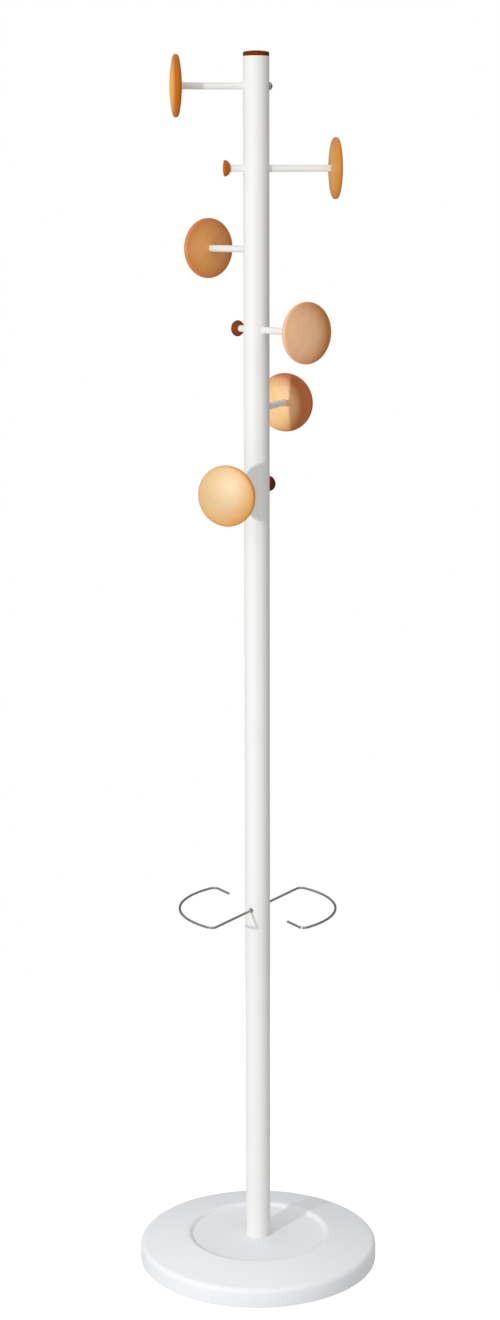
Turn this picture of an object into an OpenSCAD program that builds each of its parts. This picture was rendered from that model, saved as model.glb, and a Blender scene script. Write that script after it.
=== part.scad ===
// Standing coat rack with six hooks and an umbrella holder.
//
// A white steel pole stands on a round weighted base with a drip tray. Six rods leave the
// pole one above the other, in three pairs that point opposite ways. Each rod carries a
// turned wooden disc, and three of them run on through the pole to a small wooden knob.
// Two bent wire loops near the pole's lower third keep umbrellas upright over the tray.
//
// Frame: +Z up, the floor at Z = 0, the pole's axis on the Z axis, the front towards -Y.
// All sizes are in millimetres.

/* [Overall] */
// Height from the floor to the top of the cap
total_h = 1750; // [1600:10:1850]

/* [Pole] */
// Outside diameter of the tube
pole_d = 36; // [34:0.5:40]
// Wall of the tube
pole_wall = 1.5; // [1:0.25:2]
// Height of the turned cap above the tube
cap_h = 7.5; // [7:0.5:12]
// Length of the cap's spigot inside the tube
cap_spigot_h = 18; // [10:1:25]

/* [Hooks] */
// Distance from the top of the cap down to the first rod
first_hook_drop = 47; // [40:1:60]
// Height between one rod and the next
hook_pitch = 109.5; // [90:0.5:120]
// Turn of the whole set of rods about the pole, in degrees
hook_turn = 8; // [-30:1:30]
// Angle between one pair of rods and the next, in degrees
pair_step = 60; // [45:1:75]
// Diameter of a rod
rod_d = 9.5; // [8:0.5:12]
// Diameter of the threaded studs at the rods' ends
stud_d = 6; // [5:0.5:6]
// Distance from the pole's axis to the middle of a disc
disc_reach = 110; // [90:1:130]
// Diameter of a disc
disc_d = 84; // [60:1:100]
// Thickness of a disc at its middle
disc_t = 15; // [13:0.5:18]
// Radius of a disc's rounded rim
disc_rim_r = 3.5; // [1.5:0.25:4]
// Distance from the pole's axis to the outer end of a knob
knob_reach = 46; // [38:1:60]
// Diameter of a knob
knob_d = 22.5; // [20:0.5:26]
// Length of a knob along its rod
knob_t = 10; // [10:0.5:12]

/* [Umbrella holder] */
// Height of the wire above the floor
loop_h = 541.5; // [400:0.5:700]
// Diameter of the wire
wire_d = 3.5; // [3:0.5:5]
// Angle between the straight part of a loop and the side-to-side line, in degrees
spoke_angle = 58.3; // [50:0.1:65]
// Distance from the pole's axis to the farthest point of a loop
loop_reach = 113; // [100:1:125]
// Radius of the long outer bend of a loop
outer_bend_r = 130; // [125:1:150]
// Radius of the two tight bends of a loop
corner_bend_r = 8; // [6:0.5:10]
// Distance from the pole's axis to a loop's free end
free_end_reach = 82; // [70:1:90]

/* [Base] */
// Diameter of the base
base_d = 350; // [330:1:380]
// Height of the outer edge, at the top of its rounding
edge_h = 29; // [27:0.5:32]
// Radius of the rounded outer edge
edge_r = 8; // [6:0.5:9]
// Height that the crowned top would reach over the pole's axis
crown_h = 46; // [45:0.5:48]
// Height of the drip tray's floor
tray_h = 35.5; // [34.5:0.5:36]
// Diameter of the drip tray, across the middle of its rounded lip
tray_d = 210; // [170:1:214]
// Radius of the rounded lip around the tray
lip_r = 8; // [7:0.5:10]
// Wall of the moulded cover
cover_wall = 3; // [2:0.25:3.5]

/* [Hidden] */

$fn = 96;
dome_fn = 720;
fit_gap = 0.1;
stud_gap = 0.4;
beyond = 1;

white = [0.93, 0.93, 0.91];
tray_white = [0.88, 0.89, 0.90];
beech = [0.74, 0.45, 0.20];
dark_beech = [0.55, 0.25, 0.09];
steel = [0.62, 0.63, 0.65];
cast = [0.30, 0.30, 0.32];
foam = [0.12, 0.12, 0.12];
brass = [0.72, 0.58, 0.28];

pole_r = pole_d / 2;
bore_r = pole_r - pole_wall;
pole_top = total_h - cap_h;

// Rods are numbered from the top, 0 to 5, and two neighbours make a pair
hook_count = 6;
function hook_z(i) = total_h - first_hook_drop - hook_pitch * i;
function hook_angle(i) = hook_turn + 180 - pair_step * floor(i / 2) + 180 * (i % 2);
function has_knob(i) = i % 2 == 1;
nut_hook = 0;

// Where a flat rod end comes to rest against the inside of the tube's far wall
wall_seat = sqrt(pow(bore_r, 2) - pow(rod_d / 2, 2)) - fit_gap;
socket_depth = 2.5;
shoulder = disc_reach - disc_t / 2 + socket_depth;
insert_d = stud_d + 3;
insert_len = 8;
stud_len = 7.5;
knob_start = knob_reach - knob_t;
knob_rim_r = 1.6;
knob_rim_at = 7;
knob_back_rise = 8.3;
knob_bore = 7;
nut_d = 11;
nut_h = 4.5;
nut_rim_r = 1;
nut_bore = 3;

cap_rim_r = 2;
cap_dome_h = 3.5;

sleeve_d = wire_d + 4;
sleeve_half = sqrt(pow(pole_r, 2) - pow(sleeve_d / 2, 2));
wire_start = 2;

base_r = base_d / 2;
edge_x = base_r - edge_r;
edge_z = edge_h - edge_r;
crown_r = dome_radius(edge_x, crown_h - edge_z, edge_r);
lip_x = tray_d / 2;
lip_z = crown_h - crown_r + sqrt(pow(crown_r - lip_r, 2) - pow(lip_x, 2));
skirt_z = 1.5;
pad_t = 2;
plate_t = 2;
plate_top = pad_t + plate_t;
pad_d = base_d - 14;
plate_d = base_d - 10;
access_d = 44;
bolt_d = 10;
bolt_hole_d = 11;
bolt_head_d = 17;
bolt_head_h = 6.5;
washer_d = 36;
washer_t = 2.5;
pocket_h = 10;
plug_h = 30;
bolt_tip_gap = 5;
weight_top = tray_h - cover_wall;
weight_r = base_r - 7;
weight_t = 10;
hub_r = 58;
hub_taper = 4;
screw_count = 4;
screw_turn = 45;
screw_ring_r = 120;
screw_head_d = 9;
screw_d = 4.5;
screw_len = 12;

// Radius of a dome that rises h above the centre of a rim rounding of radius r, where that
// centre is c from the axis and the dome runs into the rounding without a step
function dome_radius(c, h, r) = (c * c + h * h - r * r) / (2 * (h - r));

// Half outline of such a dome, standing on the line through the rounding's centre
module dome_outline(c, h, r) {
    big_r = dome_radius(c, h, r);
    intersection() {
        translate([0, h - big_r]) circle(big_r, $fn = dome_fn);
        square([c * big_r / (big_r - r), h + beyond]);
    }
    intersection() {
        translate([c, 0]) circle(r);
        square([c + r + beyond, r + beyond]);
    }
}

// Puts a child whose +Z points out of the pole at rod i
module at_hook(i) {
    translate([0, 0, hook_z(i)]) rotate([0, 0, hook_angle(i)]) rotate([0, 90, 0]) children();
}

// --- Pole -------------------------------------------------------------------------------

module rod_holes(i) {
    hole_d = rod_d + fit_gap;
    at_hook(i) cylinder(d = hole_d, h = pole_d);
    if (has_knob(i)) at_hook(i) translate([0, 0, -pole_d]) cylinder(d = hole_d, h = pole_d);
    if (i == nut_hook) at_hook(i) translate([0, 0, -pole_d]) cylinder(d = stud_d + fit_gap, h = pole_d);
}

module along_spoke() {
    translate([0, 0, loop_h]) rotate([0, 0, spoke_angle]) rotate([0, 90, 0]) children();
}

module pole() {
    color(white) difference() {
        translate([0, 0, tray_h]) cylinder(r = pole_r, h = pole_top - tray_h);
        translate([0, 0, tray_h - beyond]) cylinder(r = bore_r, h = total_h);
        for (i = [0 : hook_count - 1]) rod_holes(i);
        along_spoke() translate([0, 0, -pole_d]) cylinder(d = sleeve_d + fit_gap, h = 2 * pole_d);
    }
}

module top_cap() {
    color(dark_beech) {
        translate([0, 0, total_h - cap_dome_h])
            rotate_extrude() dome_outline(pole_r - cap_rim_r, cap_dome_h, cap_rim_r);
        translate([0, 0, pole_top]) cylinder(r = pole_r, h = cap_h - cap_dome_h);
        translate([0, 0, pole_top - cap_spigot_h]) cylinder(r = bore_r - fit_gap, h = cap_spigot_h);
    }
}

module foot_plug() {
    color(steel) difference() {
        translate([0, 0, tray_h]) cylinder(r = bore_r - fit_gap / 2, h = plug_h);
        translate([0, 0, tray_h - beyond]) cylinder(d = bolt_d + fit_gap, h = plug_h + 2 * beyond);
    }
}

// --- Hooks ------------------------------------------------------------------------------

// Distance that rod i runs back from the pole's axis before its shoulder
function rod_back(i) = has_knob(i) ? knob_start : wall_seat;

// Length of the stud behind that shoulder, negative where the rod has none and the stud's
// core only starts inside it
function back_stud(i) = has_knob(i) ? knob_bore - stud_gap
    : i == nut_hook ? pole_r - wall_seat + nut_bore - stud_gap
    : -rod_d;

module hook_rod(i) {
    color(white) at_hook(i) {
        translate([0, 0, -rod_back(i)]) cylinder(d = rod_d, h = rod_back(i) + shoulder);
        translate([0, 0, -rod_back(i) - back_stud(i)])
            cylinder(d = stud_d - fit_gap, h = rod_back(i) + back_stud(i) + shoulder + stud_len);
    }
}

module disc_body() {
    rim_c = disc_d / 2 - disc_rim_r;
    rotate_extrude() {
        dome_outline(rim_c, disc_t / 2, disc_rim_r);
        mirror([0, 1]) dome_outline(rim_c, disc_t / 2, disc_rim_r);
    }
}

module hook_disc(i) {
    color(beech) at_hook(i) difference() {
        translate([0, 0, disc_reach]) disc_body();
        translate([0, 0, shoulder - disc_t]) cylinder(d = rod_d + fit_gap, h = disc_t);
        translate([0, 0, shoulder - beyond]) cylinder(d = insert_d, h = insert_len + beyond);
    }
}

module disc_inserts() {
    color(brass) for (i = [0 : hook_count - 1]) at_hook(i) difference() {
        translate([0, 0, shoulder]) cylinder(d = insert_d - fit_gap, h = insert_len - fit_gap);
        translate([0, 0, shoulder - beyond]) cylinder(d = stud_d, h = insert_len + 2 * beyond);
    }
}

// A knob as a solid of revolution whose shallow dome points along +Z. Behind its rim it
// narrows in a deeper dome, which the flat end at Z = 0 cuts off where the rod arrives.
module knob_body() {
    rim_c = knob_d / 2 - knob_rim_r;
    rotate_extrude() intersection() {
        translate([0, knob_rim_at]) {
            dome_outline(rim_c, knob_t - knob_rim_at, knob_rim_r);
            mirror([0, 1]) dome_outline(rim_c, knob_back_rise, knob_rim_r);
        }
        square([knob_d, knob_t + beyond]);
    }
}

module back_knob(i) {
    color(dark_beech) at_hook(i) rotate([180, 0, 0]) translate([0, 0, knob_start]) difference() {
        knob_body();
        translate([0, 0, -beyond]) cylinder(d = stud_d, h = knob_bore + beyond);
    }
}

module dome_nut() {
    color(steel) at_hook(nut_hook) rotate([180, 0, 0]) translate([0, 0, pole_r]) difference() {
        union() {
            cylinder(d = nut_d, h = nut_rim_r);
            translate([0, 0, nut_rim_r])
                rotate_extrude() dome_outline(nut_d / 2 - nut_rim_r, nut_h - nut_rim_r, nut_rim_r);
        }
        translate([0, 0, -beyond]) cylinder(d = stud_d, h = nut_bore + beyond);
    }
}

// --- Umbrella holder --------------------------------------------------------------------

// The left loop lies in the X-Y plane: a straight spoke from the pole to the front corner,
// a long bend around the outside, and a short leg from the back corner towards the pole.
// The spoke runs along spoke_dir, and spoke_side points from it into the loop.
spoke_dir = [-cos(spoke_angle), -sin(spoke_angle)];
spoke_side = [-sin(spoke_angle), cos(spoke_angle)];
outer_centre = [outer_bend_r - loop_reach, 0];

// Length of the spoke up to where the corner bend touches both it and the outer bend
corner_offset = corner_bend_r * spoke_side - outer_centre;
along = spoke_dir * corner_offset;
spoke_len = -along + sqrt(along * along - corner_offset * corner_offset
    + pow(outer_bend_r - corner_bend_r, 2));
corner_centre = spoke_len * spoke_dir + corner_bend_r * spoke_side;
corner_to_outer = corner_centre - outer_centre;

// Directions at which the corner bend meets the spoke and the outer bend, seen from its
// centre. The bends run clockwise, and the back half of the loop mirrors the front half.
corner_from = atan2(-spoke_side[1], -spoke_side[0]);
corner_to = atan2(corner_to_outer[1], corner_to_outer[0]);

wire_sides = 16;
corner_steps = 10;
outer_steps = 12;
tip_steps = 3;
tip_turn = 80;

// A station on the wire's middle line: [x, y, direction of travel, radius there]
function bend_station(centre, r, a) =
    [centre[0] + r * cos(a), centre[1] + r * sin(a), a - 90, wire_d / 2];
function mirrored(s) = [s[0], -s[1], 180 - s[2], s[3]];

front_half = concat(
    [[wire_start * spoke_dir[0], wire_start * spoke_dir[1], spoke_angle + 180, wire_d / 2]],
    [for (k = [0 : corner_steps])
        let (a = corner_from + (corner_to - corner_from) * k / corner_steps)
            bend_station(corner_centre, corner_bend_r, a)],
    [for (k = [1 : outer_steps])
        let (a = corner_to + (-180 - corner_to) * k / outer_steps)
            bend_station(outer_centre, outer_bend_r, a)]
);

// The back half starts after the shared middle station and stops at the rounded free end
back_half = [for (k = [len(front_half) - 2 : -1 : 1]) mirrored(front_half[k])];
leg_turn = -spoke_angle;
free_end = [for (k = [0 : tip_steps])
    let (a = tip_turn * k / tip_steps, reach = free_end_reach - wire_d / 2 * sin(a))
        [reach * spoke_dir[0], -reach * spoke_dir[1], leg_turn, wire_d / 2 * cos(a)]];
stations = concat(front_half, back_half, free_end);

function ring(s) = [for (j = [0 : wire_sides - 1])
    let (a = 360 * (j + 0.5) / wire_sides)
        [s[0] - s[3] * cos(a) * sin(s[2]), s[1] + s[3] * cos(a) * cos(s[2]), s[3] * sin(a)]];

module umbrella_loop() {
    rings = len(stations);
    last = (rings - 1) * wire_sides;
    points = [for (s = stations) each ring(s)];
    walls = [for (k = [0 : rings - 2], j = [0 : wire_sides - 1])
        let (n = (j + 1) % wire_sides, a = k * wire_sides, b = a + wire_sides)
            [a + j, b + j, b + n, a + n]];
    start_cap = [for (j = [0 : wire_sides - 1]) j];
    end_cap = [for (j = [wire_sides - 1 : -1 : 0]) last + j];
    color(steel) translate([0, 0, loop_h])
        polyhedron(points = points, faces = concat([start_cap], walls, [end_cap]), convexity = 6);
}

module loop_sleeve() {
    color(steel) along_spoke() difference() {
        translate([0, 0, -sleeve_half]) cylinder(d = sleeve_d, h = 2 * sleeve_half);
        translate([0, 0, -pole_d]) cylinder(d = wire_d + fit_gap, h = 2 * pole_d);
    }
}

// --- Base -------------------------------------------------------------------------------

// Half section of the cover's block, drawn in by inset from its outer skin on every side,
// with the tray already taken out and its bottom at height bottom. The crown rolls over a
// rounded lip down to the tray's floor.
module cover_section(inset, bottom) {
    lip_end = lip_x * (crown_r - inset) / (crown_r - lip_r);
    difference() {
        union() {
            translate([0, edge_z])
                dome_outline_inset(edge_x, crown_h - edge_z, edge_r, inset);
            translate([0, bottom]) square([base_r - inset, edge_z - bottom]);
        }
        translate([-beyond, tray_h - inset]) square([lip_end + beyond, crown_h]);
    }
    intersection() {
        translate([lip_x, lip_z]) circle(lip_r - inset);
        square([lip_end, crown_h]);
    }
}

// The dome outline with both of its radii made smaller by inset
module dome_outline_inset(c, h, r, inset) {
    big_r = dome_radius(c, h, r);
    intersection() {
        translate([0, h - big_r]) circle(big_r - inset, $fn = dome_fn);
        square([c * big_r / (big_r - r), h + beyond]);
    }
    intersection() {
        translate([c, 0]) circle(r - inset);
        square([c + r + beyond, r + beyond]);
    }
}

module base_cover() {
    color(tray_white) difference() {
        rotate_extrude() difference() {
            cover_section(0, skirt_z);
            cover_section(cover_wall, -beyond);
        }
        cylinder(d = bolt_hole_d, h = tray_h + beyond);
    }
}

module counterweight() {
    color(cast) difference() {
        rotate_extrude() polygon([
            [0, plate_top],
            [weight_r, plate_top],
            [weight_r, plate_top + weight_t],
            [hub_r + hub_taper, plate_top + weight_t],
            [hub_r, weight_top],
            [0, weight_top]
        ]);
        translate([0, 0, plate_top - beyond]) cylinder(d = access_d, h = pocket_h + beyond);
        cylinder(d = bolt_hole_d, h = tray_h);
        at_screws() translate([0, 0, plate_top - beyond]) cylinder(d = screw_d, h = screw_len + beyond);
    }
}

module at_screws() {
    for (i = [0 : screw_count - 1]) rotate([0, 0, screw_turn + 360 / screw_count * i])
        translate([screw_ring_r, 0, 0]) children();
}

module base_plate() {
    color(steel) difference() {
        translate([0, 0, pad_t]) cylinder(d = plate_d, h = plate_t);
        translate([0, 0, pad_t - beyond]) cylinder(d = access_d, h = plate_t + 2 * beyond);
        at_screws() translate([0, 0, pad_t - beyond]) cylinder(d = screw_head_d, h = plate_t + 2 * beyond);
    }
}

module plate_screws() {
    color(steel) at_screws() {
        translate([0, 0, pad_t]) cylinder(d = screw_head_d - 2 * fit_gap, h = plate_t);
        translate([0, 0, plate_top]) cylinder(d = screw_d - fit_gap, h = screw_len - fit_gap);
    }
}

module floor_pad() {
    color(foam) difference() {
        cylinder(d = pad_d, h = pad_t);
        translate([0, 0, -beyond]) cylinder(d = access_d, h = pad_t + 2 * beyond);
    }
}

pocket_top = plate_top + pocket_h;

module foot_washer() {
    color(steel) difference() {
        translate([0, 0, pocket_top - washer_t]) cylinder(d = washer_d, h = washer_t);
        translate([0, 0, pocket_top - washer_t - beyond])
            cylinder(d = bolt_hole_d, h = washer_t + 2 * beyond);
    }
}

module foot_bolt() {
    head_top = pocket_top - washer_t;
    color(steel) {
        translate([0, 0, head_top - bolt_head_h])
            cylinder(d = bolt_head_d / cos(30), h = bolt_head_h, $fn = 6);
        translate([0, 0, head_top]) cylinder(d = bolt_d, h = tray_h + plug_h - bolt_tip_gap - head_top);
    }
}

pole();
top_cap();
foot_plug();
hook_rod(0);  // hook_rod_1
hook_rod(1);  // hook_rod_2
hook_rod(2);  // hook_rod_3
hook_rod(3);  // hook_rod_4
hook_rod(4);  // hook_rod_5
hook_rod(5);  // hook_rod_6
hook_disc(0);  // hook_disc_1
hook_disc(1);  // hook_disc_2
hook_disc(2);  // hook_disc_3
hook_disc(3);  // hook_disc_4
hook_disc(4);  // hook_disc_5
hook_disc(5);  // hook_disc_6
back_knob(1);  // back_knob_2
back_knob(3);  // back_knob_4
back_knob(5);  // back_knob_6
disc_inserts();
dome_nut();
umbrella_loop();  // umbrella_loop_left
rotate([0, 0, 180]) umbrella_loop();  // umbrella_loop_right
loop_sleeve();
base_cover();
counterweight();
base_plate();
plate_screws();
floor_pad();
foot_bolt();
foot_washer();
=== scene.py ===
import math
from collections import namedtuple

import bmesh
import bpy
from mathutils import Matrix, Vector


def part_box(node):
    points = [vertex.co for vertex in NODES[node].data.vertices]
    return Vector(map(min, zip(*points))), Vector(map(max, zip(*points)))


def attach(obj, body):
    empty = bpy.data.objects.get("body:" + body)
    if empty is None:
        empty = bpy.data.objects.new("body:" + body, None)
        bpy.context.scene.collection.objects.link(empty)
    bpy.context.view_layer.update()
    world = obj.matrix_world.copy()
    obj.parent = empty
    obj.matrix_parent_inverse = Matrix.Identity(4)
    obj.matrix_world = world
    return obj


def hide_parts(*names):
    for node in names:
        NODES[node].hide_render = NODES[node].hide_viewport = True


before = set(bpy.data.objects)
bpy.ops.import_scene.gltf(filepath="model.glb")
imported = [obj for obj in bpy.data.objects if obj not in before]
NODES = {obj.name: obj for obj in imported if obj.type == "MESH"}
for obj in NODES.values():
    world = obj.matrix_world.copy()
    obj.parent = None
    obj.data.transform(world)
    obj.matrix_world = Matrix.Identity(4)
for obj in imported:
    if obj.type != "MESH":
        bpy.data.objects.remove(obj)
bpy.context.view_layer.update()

# Looks of a standing coat rack: a white pole with six wooden disc hooks, three small knobs,
# two wire loops for umbrellas and a round base with a drip tray. All lengths are in metres.
#
# The pole, the rods and the pieces under and inside the base are the CAD's own. The turned
# wood, the nut, the wires and the base's cover are built here with finer outlines, and a
# fillet of paint is added where each rod leaves the pole.

MM = 0.001


# --- Driving dimensions, as in the CAD ---------------------------------------------------

POLE_WALL = 1.5 * MM
POLE_CAP_HEIGHT = 7.5 * MM
CAP_SPIGOT = 18 * MM
CAP_RIM_RADIUS = 2 * MM
CAP_RISE = 3.5 * MM

DISC_THICKNESS = 15 * MM
DISC_RIM_RADIUS = 3.5 * MM
DISC_SOCKET = 2.5 * MM
SOCKET_GAP = 0.05 * MM

KNOB_REACH = 46 * MM
KNOB_DIAMETER = 22.5 * MM
KNOB_LENGTH = 10 * MM
KNOB_RIM_AT = 7 * MM
KNOB_BACK_RISE = 8.3 * MM
KNOB_RIM_RADIUS = 1.6 * MM

NUT_DIAMETER = 11 * MM
NUT_HEIGHT = 4.5 * MM
NUT_RIM_RADIUS = 1 * MM

WIRE_DIAMETER = 3.5 * MM
WIRE_START = 2 * MM
SPOKE_ANGLE = math.radians(58.3)
LOOP_REACH = 113 * MM
OUTER_BEND_RADIUS = 130 * MM
CORNER_BEND_RADIUS = 8 * MM
FREE_END_REACH = 82 * MM

EDGE_HEIGHT = 29 * MM
EDGE_RADIUS = 8 * MM
CROWN_HEIGHT = 46 * MM
TRAY_RADIUS = 105 * MM
LIP_RADIUS = 8 * MM
COVER_WALL = 3 * MM
BOLT_HOLE_RADIUS = 5.5 * MM

# Small roundings that the CAD leaves out. The fillets' feet lie FILLET_SINK inside the paint.
CAP_FOOT_CURVE = 0.4 * MM
SOCKET_CHAMFER = 0.5 * MM
SOCKET_CHAMFER_DEPTH = 0.4 * MM
NUT_CHAMFER = 0.2 * MM
TIP_TURN = math.radians(85)
TRAY_CORNER = 2 * MM
COVER_FOOT_CURVE = 1 * MM
FILLET = 1.2 * MM
FILLET_SINK = 0.3 * MM


# --- Sizes read from model.glb's parts ---------------------------------------------------

def middle(node):
    low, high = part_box(node)
    return (low + high) / 2


def height_of(node):
    low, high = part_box(node)
    return high.z - low.z


pole_low, pole_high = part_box("pole")
pole_r = (pole_high.x - pole_low.x) / 2
bore_r = pole_r - POLE_WALL
pole_top = pole_high.z
tray_z = pole_low.z
rod_r = height_of("hook_rod_3") / 2
disc_r = height_of("hook_disc_1") / 2
base_r = (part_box("base_cover")[1].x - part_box("base_cover")[0].x) / 2
skirt_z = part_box("base_cover")[0].z
loop_z = middle("umbrella_loop_left").z

HOOKS = range(1, 7)
KNOBS = [hook for hook in HOOKS if f"back_knob_{hook}" in NODES]


def hook_direction(hook):
    """Level unit vector from the pole's axis to the middle of a hook's disc."""
    place = middle(f"hook_disc_{hook}")
    return Vector((place.x, place.y, 0)).normalized()


def hook_height(hook):
    return middle(f"hook_disc_{hook}").z


def placed(direction, distance, height):
    """Matrix of a turned piece whose own +Z points along a level direction out of the pole."""
    turn = direction.to_track_quat("Z", "Y").to_matrix().to_4x4()
    return Matrix.Translation(direction * distance + Vector((0, 0, height))) @ turn


# --- Camera ------------------------------------------------------------------------------

# In front of the rack and a little lower than its top, looking down. The lens is in
# millimetres, on a sensor 36 mm long.
CAMERA_DISTANCE = 3.334
CAMERA_HEIGHT = 1.565
CAMERA_PITCH = math.radians(11.15)
CAMERA_PAN = math.radians(0.175)
CAMERA_ROLL = math.radians(0.137)
CAMERA_LENS = 65.1
CAMERA_SENSOR = 36


def make_camera():
    data = bpy.data.cameras.new("camera")
    data.sensor_width = CAMERA_SENSOR
    data.lens = CAMERA_LENS
    data.clip_end = 100
    camera = bpy.data.objects.new("camera", data)
    bpy.context.scene.collection.objects.link(camera)
    turn = Matrix.Rotation(CAMERA_PAN, 4, "Z")
    tilt = Matrix.Rotation(math.radians(90) - CAMERA_PITCH, 4, "X")
    roll = Matrix.Rotation(-CAMERA_ROLL, 4, "Z")
    place = Matrix.Translation((0, -CAMERA_DISTANCE, CAMERA_HEIGHT))
    camera.matrix_world = place @ turn @ tilt @ roll
    bpy.context.scene.camera = camera


make_camera()


# --- Node material helpers ---------------------------------------------------------------

def new_material(name):
    material = bpy.data.materials.new(name)
    material.use_nodes = True
    tree = material.node_tree
    shader = tree.nodes["Principled BSDF"]
    return material, tree, shader


def add_node(tree, kind, **values):
    """A new node; values name its properties, or its inputs where it has no such property."""
    made = tree.nodes.new(kind)
    for key, value in values.items():
        if hasattr(made, key):
            setattr(made, key, value)
        else:
            made.inputs[key.replace("_", " ")].default_value = value
    return made


def object_coords(tree, stretch=(1, 1, 1), shift=(0, 0, 0), spin=0.0):
    """Object coordinates that move, then spin about Z, then stretch the texture put on them."""
    coords = add_node(tree, "ShaderNodeTexCoord")
    mapping = add_node(
        tree, "ShaderNodeMapping", vector_type="TEXTURE",
        Location=shift, Rotation=(0, 0, spin), Scale=stretch,
    )
    tree.links.new(coords.outputs["Object"], mapping.inputs["Vector"])
    return mapping.outputs["Vector"]


def colour_ramp(tree, factor, stops):
    """Colours along a factor; stops are (place, colour) pairs in rising order."""
    ramp = add_node(tree, "ShaderNodeValToRGB")
    elements = ramp.color_ramp.elements
    elements[0].position, elements[0].color = stops[0][0], (*stops[0][1], 1)
    elements[1].position, elements[1].color = stops[-1][0], (*stops[-1][1], 1)
    for place, colour in stops[1:-1]:
        element = elements.new(place)
        element.color = (*colour, 1)
    tree.links.new(factor, ramp.inputs["Fac"])
    return ramp.outputs["Color"]


def value_range(tree, factor, low, high, start=0.0, end=1.0):
    """Low where the factor is at start, high where it is at end."""
    mapper = add_node(
        tree, "ShaderNodeMapRange", From_Min=start, From_Max=end, To_Min=low, To_Max=high,
    )
    tree.links.new(factor, mapper.inputs["Value"])
    return mapper.outputs["Result"]


def plus(tree, factor, share, other):
    """factor times share, plus other."""
    made = add_node(tree, "ShaderNodeMath", operation="MULTIPLY_ADD")
    made.inputs[1].default_value = share
    tree.links.new(factor, made.inputs[0])
    tree.links.new(other, made.inputs[2])
    return made.outputs["Value"]


def powered(tree, factor, exponent):
    made = add_node(tree, "ShaderNodeMath", operation="POWER")
    made.inputs[1].default_value = exponent
    tree.links.new(factor, made.inputs[0])
    return made.outputs["Value"]


def bump(tree, height, strength, distance):
    made = add_node(tree, "ShaderNodeBump", Strength=strength, Distance=distance)
    tree.links.new(height, made.inputs["Height"])
    return made.outputs["Normal"]


def noise_texture(tree, coords, scale, detail=2.0, roughness=0.5):
    made = add_node(tree, "ShaderNodeTexNoise", Scale=scale, Detail=detail, Roughness=roughness)
    tree.links.new(coords, made.inputs["Vector"])
    return made.outputs["Fac"]


def mixed(tree, blend, factor, first, colour):
    """The colour output first, blended with a plain colour by a factor output."""
    made = add_node(tree, "ShaderNodeMix", data_type="RGBA", blend_type=blend)
    tree.links.new(factor, made.inputs["Factor"])
    tree.links.new(first, made.inputs["A"])
    made.inputs["B"].default_value = (*colour, 1)
    return made.outputs["Result"]


def scaled(values, factor):
    return tuple(value * factor for value in values)


# --- Materials ---------------------------------------------------------------------------

def powder_coat(name, colour):
    """Satin powder coat on steel, with its fine orange peel."""
    material, tree, shader = new_material(name)
    coords = object_coords(tree)
    cloud = noise_texture(tree, coords, scale=14, detail=3)
    base = colour_ramp(tree, cloud, [(0.3, scaled(colour, 0.975)), (0.7, colour)])
    rough = value_range(tree, cloud, low=0.56, high=0.64)
    peel = noise_texture(tree, coords, scale=650, detail=1)
    relief = bump(tree, peel, strength=0.25, distance=0.04 * MM)
    tree.links.new(base, shader.inputs["Base Color"])
    tree.links.new(rough, shader.inputs["Roughness"])
    tree.links.new(relief, shader.inputs["Normal"])
    shader.inputs["Specular IOR Level"].default_value = 0.4
    return material


def beech_grain(tree, shift, spin):
    """Two factors: the wood's fine fibre, and its grain of fibre, growth rings and clouds.
    Both run along Y, turned by spin about Z."""
    along = object_coords(tree, (1, 20, 1), shift, spin)
    spread = object_coords(tree, (1, 3, 1), shift, spin)
    rings = add_node(
        tree, "ShaderNodeTexWave", wave_type="BANDS", bands_direction="X",
        Scale=20, Distortion=4.0, Detail=2, Detail_Scale=0.8,
    )
    tree.links.new(along, rings.inputs["Vector"])
    fibre = noise_texture(tree, along, scale=1100, detail=3, roughness=0.6)
    cloud = noise_texture(tree, spread, scale=26, detail=2)
    grain = value_range(tree, rings.outputs["Fac"], low=0.08, high=0.14)
    grain = plus(tree, fibre, 0.34, grain)
    return fibre, plus(tree, cloud, 0.40, grain)


def rim_tone_and_shade(tree, radius, heart):
    """Factor that rises from 0 round the pale centre to 1 at the piece's rim. It masks painted
    shade at the rim, partly the wood's own darker rim.
    """
    from_centre = add_node(tree, "ShaderNodeVectorMath", operation="MULTIPLY_ADD")
    from_centre.inputs[1].default_value = (1, 1, 0)
    from_centre.inputs[2].default_value = (-heart[0] * radius, -heart[1] * radius, 0)
    tree.links.new(object_coords(tree), from_centre.inputs[0])
    reach = add_node(tree, "ShaderNodeVectorMath", operation="LENGTH")
    tree.links.new(from_centre.outputs["Vector"], reach.inputs[0])
    reach = value_range(tree, reach.outputs["Value"], 0.0, 1.0, radius * 0.3, radius * 1.1)
    return powered(tree, reach, 2.2)


def beech_flecks(tree, shift, spin):
    """Factor for beech's short darker flecks, each a millimetre or two long."""
    flecks = add_node(tree, "ShaderNodeTexVoronoi", feature="F1", Scale=330, Randomness=1.0)
    tree.links.new(object_coords(tree, (1, 5, 1), shift, spin), flecks.inputs["Vector"])
    return value_range(tree, flecks.outputs["Distance"], 0.16, 0.0, start=0.08, end=0.26)


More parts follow.
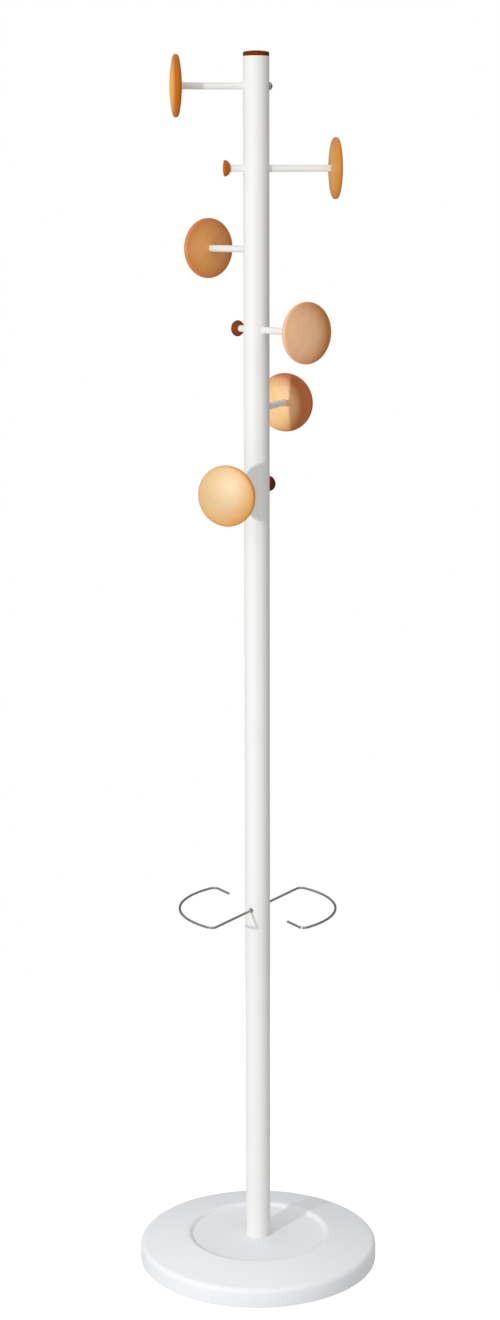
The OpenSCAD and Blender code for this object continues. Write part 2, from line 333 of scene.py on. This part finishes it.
def varnished_beech(name, look, radius, shift, spin=0.0):
    """Turned beech under clear varnish. Its colour darkens from a pale centre out to its rim:
    partly the wood's own tone, partly painted shade at the rim and a painted sheen at the centre.
    """
    material, tree, shader = new_material(name)
    fibre, grain = beech_grain(tree, shift, spin)
    wood = colour_ramp(tree, grain, [
        (0.22, scaled(look.tone, 0.88)),
        (0.50, look.tone),
        (0.82, scaled(look.tone, 1.08)),
    ])
    # Painted shade towards the rim, partly the wood's own darker rim
    shaded = mixed(tree, "MULTIPLY", rim_tone_and_shade(tree, radius, look.heart), wood, look.rim_shade)
    base = mixed(tree, "MULTIPLY", beech_flecks(tree, shift, spin), shaded, (0.72, 0.50, 0.34))
    rough = value_range(tree, fibre, low=0.40, high=0.48)
    relief = bump(tree, fibre, strength=0.06, distance=0.04 * MM)
    tree.links.new(base, shader.inputs["Base Color"])
    tree.links.new(rough, shader.inputs["Roughness"])
    tree.links.new(relief, shader.inputs["Normal"])
    shader.inputs["Specular IOR Level"].default_value = look.gloss
    return material


def moulded_plastic(name, colour):
    """Smooth white moulded cover, with a faint satin texture and a little dust."""
    material, tree, shader = new_material(name)
    coords = object_coords(tree)
    cloud = noise_texture(tree, coords, scale=9, detail=4)
    base = colour_ramp(tree, cloud, [(0.35, scaled(colour, 0.985)), (0.65, colour)])
    rough = value_range(tree, cloud, low=0.54, high=0.62)
    grain = noise_texture(tree, coords, scale=1400, detail=1)
    relief = bump(tree, grain, strength=0.06, distance=0.03 * MM)
    tree.links.new(base, shader.inputs["Base Color"])
    tree.links.new(rough, shader.inputs["Roughness"])
    tree.links.new(relief, shader.inputs["Normal"])
    shader.inputs["Specular IOR Level"].default_value = 0.3
    return material


def bright_metal(name, colour, rough, scale=900):
    """Bare or plated steel or brass, with fine marks."""
    material, tree, shader = new_material(name)
    coords = object_coords(tree)
    marks = noise_texture(tree, coords, scale, detail=2)
    base = colour_ramp(tree, marks, [(0.3, scaled(colour, 0.82)), (0.7, colour)])
    relief = bump(tree, marks, strength=0.1, distance=0.02 * MM)
    tree.links.new(base, shader.inputs["Base Color"])
    tree.links.new(value_range(tree, marks, rough * 0.8, rough * 1.25), shader.inputs["Roughness"])
    tree.links.new(relief, shader.inputs["Normal"])
    shader.inputs["Metallic"].default_value = 1.0
    return material


def rough_solid(name, colour, rough, scale, depth):
    """Cast or foamed surface with a coarse relief."""
    material, tree, shader = new_material(name)
    coords = object_coords(tree)
    grain = noise_texture(tree, coords, scale, detail=5, roughness=0.65)
    base = colour_ramp(tree, grain, [(0.3, scaled(colour, 0.5)), (0.7, colour)])
    tree.links.new(base, shader.inputs["Base Color"])
    tree.links.new(bump(tree, grain, strength=0.5, distance=depth), shader.inputs["Normal"])
    shader.inputs["Roughness"].default_value = rough
    return material


POLE_PAINT = powder_coat("pole_paint", (0.805, 0.805, 0.79))
COVER_PLASTIC = moulded_plastic("cover_plastic", (0.80, 0.815, 0.835))
# The wire's steel is darker than bare steel: a painted dark reflection
WIRE_STEEL = bright_metal("wire_steel", (0.40, 0.37, 0.37), rough=0.16)
NUT_STEEL = bright_metal("nut_steel", (0.52, 0.49, 0.51), rough=0.30)
ZINC = bright_metal("zinc", (0.60, 0.60, 0.61), rough=0.35, scale=300)
BRASS = bright_metal("brass", (0.70, 0.52, 0.22), rough=0.28)
IRON = rough_solid("iron", (0.10, 0.10, 0.105), rough=0.7, scale=260, depth=0.4 * MM)
FOAM = rough_solid("foam", (0.05, 0.05, 0.05), rough=0.9, scale=900, depth=0.3 * MM)

# Each piece's look: the tone at its pale centre, the colour its rim is multiplied by, where the
# pale centre lies as shares of the radius, and gloss. The tones differ partly as wood from
# different blanks and partly as light and shade painted into the colour: a paler centre is partly
# a painted sheen, a shaded rim partly painted shade
Look = namedtuple("Look", "tone rim_shade heart gloss")
DISC_LOOKS = {
    1: Look((0.96, 0.480, 0.120), (0.50, 0.26, 0.02), (-0.2, 0.0), 0.10),
    2: Look((0.74, 0.375, 0.090), (0.80, 0.46, 0.12), (0.0, 0.0), 0.15),
    3: Look((0.74, 0.335, 0.095), (0.76, 0.38, 0.14), (0.05, 0.0), 0.6),
    # Disc 4's pale tone and off-centre pale centre are partly a painted sheen
    4: Look((0.92, 0.540, 0.300), (0.64, 0.36, 0.12), (-0.3, 0.0), 0.8),
    # Disc 5's pale centre lies off to one side and its rim shade is deep: a painted shadow of the
    # pole over one half of its face
    5: Look((0.92, 0.580, 0.245), (0.50, 0.20, 0.04), (0.45, -0.1), 0.6),
    6: Look((0.66, 0.450, 0.200), (1.00, 0.60, 0.12), (-0.2, 0.1), 0.9),
}
# The knobs' tones are lit and shaded copies of one darker wood: knobs 4 and 6 are darker than knob
# 2 by painted shade
KNOB_LOOKS = {
    2: Look((0.62, 0.165, 0.006), (0.60, 0.40, 0.30), (0.0, 0.0), 0.1),
    4: Look((0.26, 0.050, 0.006), (0.70, 0.50, 0.40), (0.0, 0.0), 0.1),
    6: Look((0.14, 0.028, 0.008), (0.70, 0.50, 0.40), (0.0, 0.0), 0.1),
}
# The cap's tone is darker than the discs' partly as darker wood and partly as painted shade
CAP_LOOK = Look((0.20, 0.028, 0.001), (1.0, 1.0, 1.0), (0.0, 0.0), 0.03)


def paint(node, material):
    """Gives a carried-over CAD node one material in all of its slots."""
    mesh = NODES[node].data
    if not mesh.materials:
        mesh.materials.append(material)
    for index in range(len(mesh.materials)):
        mesh.materials[index] = material


KEPT_NODE_MATERIALS = {
    "pole": POLE_PAINT,
    "disc_inserts": BRASS,
    "counterweight": IRON,
    "floor_pad": FOAM,
    "foot_plug": ZINC,
    "loop_sleeve": ZINC,
    "base_plate": ZINC,
    "plate_screws": ZINC,
    "foot_bolt": ZINC,
    "foot_washer": ZINC,
}
for node_name, node_material in KEPT_NODE_MATERIALS.items():
    paint(node_name, node_material)
for hook in HOOKS:
    paint(f"hook_rod_{hook}", POLE_PAINT)


# --- Outlines and mesh helpers -----------------------------------------------------------

TURNED_SIDES = 128
SMALL_SIDES = 64
SHARP_ANGLE = math.radians(38)
SAME_POINT = 1e-7


def arc(centre, radius, start, end, steps):
    """Points on an arc in an outline's (radius, height) plane, both ends included."""
    return [
        (centre[0] + radius * math.cos(a), centre[1] + radius * math.sin(a))
        for a in (start + (end - start) * k / steps for k in range(steps + 1))
    ]


def rounded_corner(before, corner, after, size, steps=6):
    """Points that cut a corner with a curve that starts and ends size away from it."""
    corner = Vector(corner)
    start = corner + (Vector(before) - corner).normalized() * size
    end = corner + (Vector(after) - corner).normalized() * size
    points = []
    for k in range(steps + 1):
        t = k / steps
        points.append(tuple(start * (1 - t) ** 2 + corner * 2 * t * (1 - t) + end * t ** 2))
    return points


def dome_radius(c, h, r):
    """Radius of a dome rising h over the centre of a rim rounding of radius r, c off axis."""
    return (c * c + h * h - r * r) / (2 * (h - r))


def dome(c, h, r, top_radius=0.0, dome_steps=16, rim_steps=8):
    """Half outline of such a dome from top_radius out to its widest point at height 0."""
    big = dome_radius(c, h, r)
    meet = math.atan2(big - h, c)
    top = math.acos(top_radius / big)
    points = arc((0, h - big), big, top, meet, dome_steps)
    return points + arc((c, 0), r, meet, 0, rim_steps)[1:]


def flipped(points):
    """The outline mirrored in its own plane's height 0, in reverse order."""
    return [(r, -z) for r, z in reversed(points)]


def raised(points, rise):
    return [(r, z + rise) for r, z in points]


def finish_mesh(bm, name, material, matrix):
    """Turns a bmesh into a smooth-shaded object in its place, on the rack's one body."""
    bmesh.ops.remove_doubles(bm, verts=bm.verts, dist=SAME_POINT)
    bmesh.ops.recalc_face_normals(bm, faces=bm.faces)
    mesh = bpy.data.meshes.new(name)
    bm.to_mesh(mesh)
    bm.free()
    mesh.polygons.foreach_set("use_smooth", [True] * len(mesh.polygons))
    mesh.set_sharp_from_angle(angle=SHARP_ANGLE)
    mesh.materials.append(material)
    piece = bpy.data.objects.new(name, mesh)
    bpy.context.scene.collection.objects.link(piece)
    piece.matrix_world = matrix
    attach(piece, "root")
    return piece


def lofted(bm, rings):
    """Joins rings of points, each a closed loop or a single point, with faces."""
    rows = [[bm.verts.new(p) for p in ring] for ring in rings]
    for near, far in zip(rows, rows[1:]):
        count = max(len(near), len(far))
        for k in range(count):
            corners = []
            for vert in (
                near[k % len(near)], near[(k + 1) % len(near)],
                far[(k + 1) % len(far)], far[k % len(far)],
            ):
                if vert not in corners:
                    corners.append(vert)
            if len(corners) > 2:
                bm.faces.new(corners)


def revolved(outline, sides):
    """A ring about Z for each point of an outline, or one point where that is on the axis."""
    angles = [2 * math.pi * k / sides for k in range(sides)]
    rings = []
    for r, z in outline:
        if r < SAME_POINT:
            rings.append([(0, 0, z)])
        else:
            rings.append([(r * math.cos(a), r * math.sin(a), z) for a in angles])
    return rings


def turned(name, outline, material, matrix, sides=TURNED_SIDES):
    """A solid of revolution about its own Z. The outline starts and ends on the axis."""
    bm = bmesh.new()
    lofted(bm, revolved(outline, sides))
    return finish_mesh(bm, name, material, matrix)


# --- Turned wood -------------------------------------------------------------------------

# How far each disc's grain is turned from upright, in degrees
DISC_GRAIN = {1: 12, 2: 95, 3: 40, 4: -25, 5: 150, 6: 70}

# How far the wood's pattern moves on from one disc or knob to the next
DISC_BLANK_STEP = (0.13, 0.31, 0.07)
KNOB_BLANK_STEP = (0.05, 0.17, 0.11)
CAP_BLANK = (0.4, 0.2, 0.6)


def disc_outline():
    """From the outer face's middle, round the rim, to the bottom of the rod's socket."""
    c = disc_r - DISC_RIM_RADIUS
    h = DISC_THICKNESS / 2
    mouth = rod_r + SOCKET_GAP
    front = dome(c, h, DISC_RIM_RADIUS)
    back = flipped(dome(c, h, DISC_RIM_RADIUS, top_radius=mouth + SOCKET_CHAMFER))
    mouth_z = back[-1][1]
    chamfer = (mouth, mouth_z + SOCKET_CHAMFER_DEPTH)
    floor_z = DISC_SOCKET - h
    return front + back[1:] + [chamfer, (mouth, floor_z), (0, floor_z)]


def knob_outline():
    """From the flat end where the rod arrives, round the rim, to the outer dome's top."""
    c = KNOB_DIAMETER / 2 - KNOB_RIM_RADIUS
    big = dome_radius(c, KNOB_BACK_RISE, KNOB_RIM_RADIUS)
    neck = math.sqrt(big ** 2 - (big - KNOB_BACK_RISE + KNOB_RIM_AT) ** 2)
    back = flipped(dome(c, KNOB_BACK_RISE, KNOB_RIM_RADIUS, top_radius=neck))
    front = list(reversed(dome(c, KNOB_LENGTH - KNOB_RIM_AT, KNOB_RIM_RADIUS)))
    rising = list(reversed(back))
    return [(0, 0)] + raised(rising, KNOB_RIM_AT) + raised(front[1:], KNOB_RIM_AT)


def cap_outline():
    """From the spigot's end, out over the tube's rim, to the dome's top."""
    c = pole_r - CAP_RIM_RADIUS
    crown = list(reversed(dome(c, CAP_RISE, CAP_RIM_RADIUS)))
    foot = rounded_corner(
        (bore_r, 0), (pole_r, 0), (pole_r, POLE_CAP_HEIGHT), CAP_FOOT_CURVE, steps=3,
    )
    spigot = [(0, -CAP_SPIGOT), (bore_r, -CAP_SPIGOT), (bore_r, 0)]
    return spigot + foot + raised(crown, POLE_CAP_HEIGHT - CAP_RISE)


def make_disc(hook):
    shift = scaled(DISC_BLANK_STEP, hook)
    spin = math.radians(DISC_GRAIN[hook])
    material = varnished_beech(f"beech_{hook}", DISC_LOOKS[hook], disc_r, shift, spin)
    direction = hook_direction(hook)
    centre = middle(f"hook_disc_{hook}")
    reach = math.hypot(centre.x, centre.y)
    matrix = placed(direction, reach, centre.z)
    piece = turned(f"turned_disc_{hook}", disc_outline(), material, matrix)
    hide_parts(f"hook_disc_{hook}")


def make_knob(hook):
    shift = scaled(KNOB_BLANK_STEP, hook)
    material = varnished_beech(f"dark_and_shaded_beech_{hook}", KNOB_LOOKS[hook], KNOB_DIAMETER / 2, shift)
    matrix = placed(-hook_direction(hook), KNOB_REACH - KNOB_LENGTH, hook_height(hook))
    piece = turned(f"turned_knob_{hook}", knob_outline(), material, matrix, SMALL_SIDES)
    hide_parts(f"back_knob_{hook}")


def make_cap():
    material = varnished_beech("dark_and_shaded_beech_cap", CAP_LOOK, pole_r, CAP_BLANK)
    matrix = Matrix.Translation((0, 0, pole_top))
    piece = turned("turned_cap", cap_outline(), material, matrix)
    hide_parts("top_cap")


def make_nut():
    c = NUT_DIAMETER / 2 - NUT_RIM_RADIUS
    crown = list(reversed(dome(c, NUT_HEIGHT - NUT_RIM_RADIUS, NUT_RIM_RADIUS)))
    foot = [(0, 0), (NUT_DIAMETER / 2 - NUT_CHAMFER, 0), (NUT_DIAMETER / 2, NUT_CHAMFER)]
    outline = foot + raised(crown, NUT_RIM_RADIUS)
    matrix = placed(-hook_direction(1), pole_r, hook_height(1))
    piece = turned("domed_nut", outline, NUT_STEEL, matrix, SMALL_SIDES)
    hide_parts("dome_nut")


for hook in HOOKS:
    make_disc(hook)
for hook in KNOBS:
    make_knob(hook)
make_cap()
make_nut()


# --- Paint fillets where the rods leave the pole -----------------------------------------

FILLET_SIDES = 48
FILLET_STEPS = 5


def make_fillet(name, direction, height):
    """A ring that follows the line where a rod meets the tube, hollow towards the corner."""
    sections = []
    for k in range(FILLET_SIDES):
        a = 2 * math.pi * k / FILLET_SIDES
        side = Vector((0, math.cos(a), math.sin(a)))

        def on_pole(distance):
            point = side * distance
            return Vector((math.sqrt(pole_r ** 2 - point.y ** 2), point.y, point.z))

        corner = on_pole(rod_r)
        on_rod = corner + Vector((FILLET, 0, 0))
        section = []
        for step in range(FILLET_STEPS + 1):
            t = step / FILLET_STEPS
            curve = on_rod * (1 - t) ** 2 + corner * 2 * t * (1 - t)
            section.append(curve + on_pole(rod_r + FILLET) * t ** 2)
        section.append(corner - Vector((FILLET_SINK, 0, 0)) - side * FILLET_SINK)
        sections.append(section)
    bm = bmesh.new()
    rings = [list(ring) for ring in zip(*sections)]
    lofted(bm, rings + [rings[0]])
    turn = Matrix.Rotation(math.atan2(direction.y, direction.x), 4, "Z")
    piece = finish_mesh(bm, name, POLE_PAINT, Matrix.Translation((0, 0, height)) @ turn)


for hook in HOOKS:
    make_fillet(f"rod_fillet_{hook}", hook_direction(hook), hook_height(hook))
for hook in KNOBS:
    make_fillet(f"back_fillet_{hook}", -hook_direction(hook), hook_height(hook))


# --- Umbrella loops ----------------------------------------------------------------------

WIRE_SIDES = 20
CORNER_STEPS = 20
OUTER_STEPS = 48
TIP_STEPS = 6


def loop_stations():
    """Middle line of the left loop: (point, direction, wire radius), from pole to free end."""
    wire_r = WIRE_DIAMETER / 2
    spoke = Vector((-math.cos(SPOKE_ANGLE), -math.sin(SPOKE_ANGLE)))
    inward = Vector((-math.sin(SPOKE_ANGLE), math.cos(SPOKE_ANGLE)))
    outer_centre = Vector((OUTER_BEND_RADIUS - LOOP_REACH, 0))
    offset = inward * CORNER_BEND_RADIUS - outer_centre
    along = spoke.dot(offset)
    gap = OUTER_BEND_RADIUS - CORNER_BEND_RADIUS
    spoke_length = -along + math.sqrt(along ** 2 - offset.length_squared + gap ** 2)
    corner_centre = spoke * spoke_length + inward * CORNER_BEND_RADIUS

    def bend(centre, radius, start, end, steps):
        for k in range(1, steps + 1):
            a = start + (end - start) * k / steps
            outward = Vector((math.cos(a), math.sin(a)))
            yield centre + outward * radius, Vector((outward.y, -outward.x)), wire_r

    start_angle = math.atan2(-inward.y, -inward.x)
    to_outer = corner_centre - outer_centre
    end_angle = math.atan2(to_outer.y, to_outer.x)
    front = [(spoke * WIRE_START, spoke, wire_r), (spoke * spoke_length, spoke, wire_r)]
    front += bend(corner_centre, CORNER_BEND_RADIUS, start_angle, end_angle, CORNER_STEPS)
    front += bend(outer_centre, OUTER_BEND_RADIUS, end_angle, -math.pi, OUTER_STEPS)

    # The back half mirrors the front half and runs the other way, up to the free end
    back = [
        (Vector((p.x, -p.y)), Vector((-d.x, d.y)), r) for p, d, r in reversed(front[1:-1])
    ]
    leg = Vector((spoke.x, -spoke.y))
    tip = []
    for k in range(TIP_STEPS + 1):
        a = TIP_TURN * k / TIP_STEPS
        reach = FREE_END_REACH - wire_r * math.sin(a)
        tip.append((leg * reach, -leg, wire_r * math.cos(a)))
    return front + back + tip


def make_loop(name, node, turn):
    """A wire loop, swept along the left loop's stations and turned about the pole."""
    up = Vector((0, 0, 1))
    rings = []
    stations = loop_stations()
    for point, direction, radius in stations:
        side = Vector((-direction.y, direction.x, 0))
        ring = []
        for k in range(WIRE_SIDES):
            a = 2 * math.pi * k / WIRE_SIDES
            around = side * math.cos(a) + up * math.sin(a)
            ring.append(point.to_3d() + around * radius)
        rings.append(ring)
    first, last = stations[0][0].to_3d(), stations[-1][0].to_3d()
    bm = bmesh.new()
    lofted(bm, [[first]] + rings + [[last]])
    matrix = Matrix.Translation((0, 0, loop_z)) @ Matrix.Rotation(turn, 4, "Z")
    piece = finish_mesh(bm, name, WIRE_STEEL, matrix)
    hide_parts(node)


make_loop("wire_loop_left", "umbrella_loop_left", 0)
make_loop("wire_loop_right", "umbrella_loop_right", math.pi)


# --- Base cover --------------------------------------------------------------------------

BASE_SIDES = 256
LIP_STEPS = 16
CROWN_STEPS = 24
EDGE_STEPS = 12
CORNER_CUT_STEPS = 4


def cover_skin(inset):
    """Half section from the tray's middle, over the lip, to the edge's widest point."""
    edge_x = base_r - EDGE_RADIUS
    edge_z = EDGE_HEIGHT - EDGE_RADIUS
    crown_r = dome_radius(edge_x, CROWN_HEIGHT - edge_z, EDGE_RADIUS)
    lip_turn = math.acos(TRAY_RADIUS / (crown_r - LIP_RADIUS))
    lip_z = CROWN_HEIGHT - crown_r + (crown_r - LIP_RADIUS) * math.sin(lip_turn)
    floor_z = tray_z - inset
    lip_foot = math.pi - math.asin((floor_z - lip_z) / (LIP_RADIUS - inset))
    lip = arc((TRAY_RADIUS, lip_z), LIP_RADIUS - inset, lip_foot, lip_turn, LIP_STEPS)
    outer = dome(
        edge_x, CROWN_HEIGHT - edge_z - inset, EDGE_RADIUS - inset,
        top_radius=lip[-1][0], dome_steps=CROWN_STEPS, rim_steps=EDGE_STEPS,
    )
    # The curve at the lip's foot takes the place of the lip's first two steps
    foot = rounded_corner((0, floor_z), lip[0], lip[2], TRAY_CORNER, CORNER_CUT_STEPS)
    return [(BOLT_HOLE_RADIUS, floor_z)] + foot + lip[2:] + raised(outer[1:], edge_z)


def cover_outline():
    """Section of the moulded cover: over the top, round the skirt's foot, back inside."""
    skirt_inside = (base_r - COVER_WALL, skirt_z)
    outside = cover_skin(0.0)
    foot = rounded_corner(
        outside[-1], (base_r, skirt_z), skirt_inside, COVER_FOOT_CURVE, CORNER_CUT_STEPS,
    )
    return outside + foot + [skirt_inside] + list(reversed(cover_skin(COVER_WALL)))


def make_cover():
    bm = bmesh.new()
    rings = revolved(cover_outline(), BASE_SIDES)
    lofted(bm, rings + [rings[0]])
    piece = finish_mesh(bm, "moulded_cover", COVER_PLASTIC, Matrix.Identity(4))
    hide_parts("base_cover")


make_cover()


# --- Stage and light ---------------------------------------------------------------------

# The key lamp: how bright it makes a white surface, where it stands, and its radius
KEY_STRENGTH = 0.43
KEY_AZIMUTH = math.radians(37)
KEY_DISTANCE = 3.2
KEY_HEIGHT = 1.33
KEY_SIZE = 0.07

# How bright the studio looks from the rack: everywhere, and what each side adds to that
SURROUND = 0.10
LEFT = 0.30
FRONT = 0.78
FRONT_FOCUS = 3
SKY = 0.85
BELOW = 0.35

# The floor's own glow is FLOOR_SEEN to the camera and FLOOR_BOUNCE to the rack
FLOOR_RADIUS = 1.3
FLOOR_SIDES = 64
FLOOR_GREY = 0.45
FLOOR_SEEN = 0.80
FLOOR_BOUNCE = 0.30


def make_floor():
    """A plain pale disc. The camera sees it brighter than the rack does."""
    mesh = bpy.data.meshes.new("studio_floor")
    ring = revolved([(FLOOR_RADIUS, 0)], FLOOR_SIDES)[0]
    mesh.from_pydata(ring, [], [list(range(FLOOR_SIDES))])
    floor = bpy.data.objects.new("studio_floor", mesh)
    bpy.context.scene.collection.objects.link(floor)
    material, tree, shader = new_material("floor")
    shader.inputs["Base Color"].default_value = (FLOOR_GREY, FLOOR_GREY, FLOOR_GREY, 1)
    shader.inputs["Roughness"].default_value = 1.0
    shader.inputs["Specular IOR Level"].default_value = 0.0
    shader.inputs["Emission Color"].default_value = (1, 1, 1, 1)
    rays = add_node(tree, "ShaderNodeLightPath")
    glow = value_range(tree, rays.outputs["Is Camera Ray"], FLOOR_BOUNCE, FLOOR_SEEN)
    tree.links.new(glow, shader.inputs["Emission Strength"])
    mesh.materials.append(material)
    return floor


def make_world():
    """White to the camera. To the rack it is brighter in front, overhead, below and left."""
    world = bpy.data.worlds.new("studio")
    bpy.context.scene.world = world
    world.use_nodes = True
    tree = world.node_tree
    background = tree.nodes["Background"]
    background.inputs["Color"].default_value = (1, 1, 1, 1)
    coords = add_node(tree, "ShaderNodeTexCoord")
    parts = add_node(tree, "ShaderNodeSeparateXYZ")
    tree.links.new(coords.outputs["Generated"], parts.inputs["Vector"])
    overhead = value_range(tree, parts.outputs["Z"], 0.0, SKY)
    below = value_range(tree, parts.outputs["Z"], BELOW, 0.0, -1.0, 0.0)
    left = value_range(tree, parts.outputs["X"], SURROUND + LEFT, SURROUND, -1.0, 0.0)
    facing = value_range(tree, parts.outputs["Y"], 1.0, 0.0, -1.0, 0.0)
    sides = plus(tree, powered(tree, facing, FRONT_FOCUS), FRONT, left)
    glow = plus(tree, overhead, 1.0, plus(tree, below, 1.0, sides))
    rays = add_node(tree, "ShaderNodeLightPath")
    seen = add_node(tree, "ShaderNodeMix", data_type="FLOAT")
    tree.links.new(rays.outputs["Is Camera Ray"], seen.inputs["Factor"])
    tree.links.new(glow, seen.inputs["A"])
    seen.inputs["B"].default_value = 1.0
    tree.links.new(seen.outputs["Result"], background.inputs["Strength"])


def make_key_light(floor):
    """A small lamp in front and to the left, level with the lower hooks, that skips the floor."""
    data = bpy.data.lights.new("key", "POINT")
    # A white surface that faces the lamp at KEY_DISTANCE would shine at KEY_STRENGTH
    data.energy = 4 * math.pi ** 2 * KEY_DISTANCE ** 2 * KEY_STRENGTH
    data.shadow_soft_size = KEY_SIZE
    light = bpy.data.objects.new("key", data)
    bpy.context.scene.collection.objects.link(light)
    light.location = (
        -math.sin(KEY_AZIMUTH) * KEY_DISTANCE,
        -math.cos(KEY_AZIMUTH) * KEY_DISTANCE,
        KEY_HEIGHT,
    )
    left_out = bpy.data.collections.new("unlit_by_key")
    left_out.objects.link(floor)
    light.light_linking.receiver_collection = left_out
    left_out.collection_objects[0].light_linking.link_state = "EXCLUDE"


floor = make_floor()
make_world()
make_key_light(floor)
bpy.context.scene.view_settings.view_transform = "Standard"
